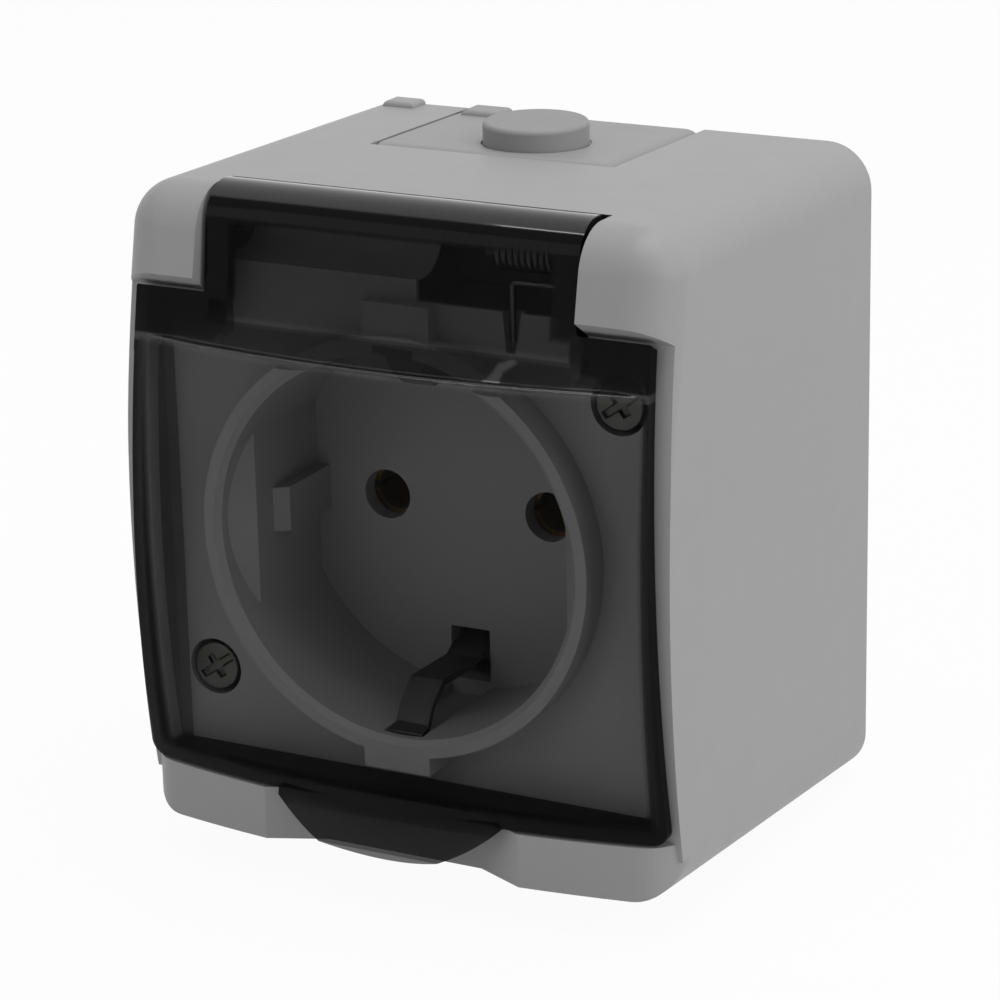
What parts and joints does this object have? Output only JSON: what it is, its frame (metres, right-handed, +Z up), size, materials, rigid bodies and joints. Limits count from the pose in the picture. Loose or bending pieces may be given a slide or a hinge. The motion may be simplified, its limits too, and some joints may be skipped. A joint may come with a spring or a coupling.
{
  "type": "weatherproof wall socket",
  "caption": "Surface-mounted splash-proof earthed wall socket with a spring-return smoked lid over the plug recess and a cable entry on top.",
  "frame": {"origin": "on the wall face, in the middle of the width, level with the lower front edge of the housing", "axes": "+Y into the wall, -Y to the front, +Z up, +X to the right seen from the front"},
  "size_m": [0.062, 0.056, 0.0741],
  "materials": {
    "cover_grey": "fine moulded grain, mid grey",
    "base_grey": "fine moulded grain, mid grey",
    "soft_grey": "soft matte thermoplastic, mid grey",
    "smoked_clear": "polished, smoked transparent",
    "pin_steel": "ground steel",
    "spring_steel": "drawn spring wire and strip",
    "screw_steel": "bright zinc plating",
    "seal_black": "soft black rubber",
    "strap_steel": "stamped plated strip",
    "block_white": "hard moulded off-white",
    "plate_fibre": "dark pressed board",
    "contact_brass": "stamped and rolled brass",
    "clamp_brass": "sawn and drilled brass bar"
  },
  "bodies": {
    "housing": {"front_cover": "cover_grey", "base_box": "base_grey", "entry_grommet": "soft_grey", "hinge_pin_left": "pin_steel", "hinge_pin_right": "pin_steel", "lid_spring": "spring_steel", "cover_screws": "screw_steel", "screw_seals": "seal_black", "base_gasket": "seal_black", "earth_strap": "strap_steel", "contact_carrier": "block_white", "carrier_back": "plate_fibre", "live_contact": "contact_brass", "neutral_contact": "contact_brass", "sleeve_springs": "spring_steel", "live_clamp": "clamp_brass", "neutral_clamp": "clamp_brass", "earth_clamp": "clamp_brass", "terminal_screws": "screw_steel", "carrier_screws": "screw_steel", "back_screws": "screw_steel"},
    "lid": {"lid": "smoked_clear"}
  },
  "joints": [
    {"name": "lid_hinge", "type": "hinge", "parent": "housing", "child": "lid", "pos_m": [0, -0.04554, 0.06465], "axis": [-1, 0, 0], "range_deg": [0, 105], "stiffness_Nm_per_rad": 0.004, "springref_deg": -57.3}
  ]
}
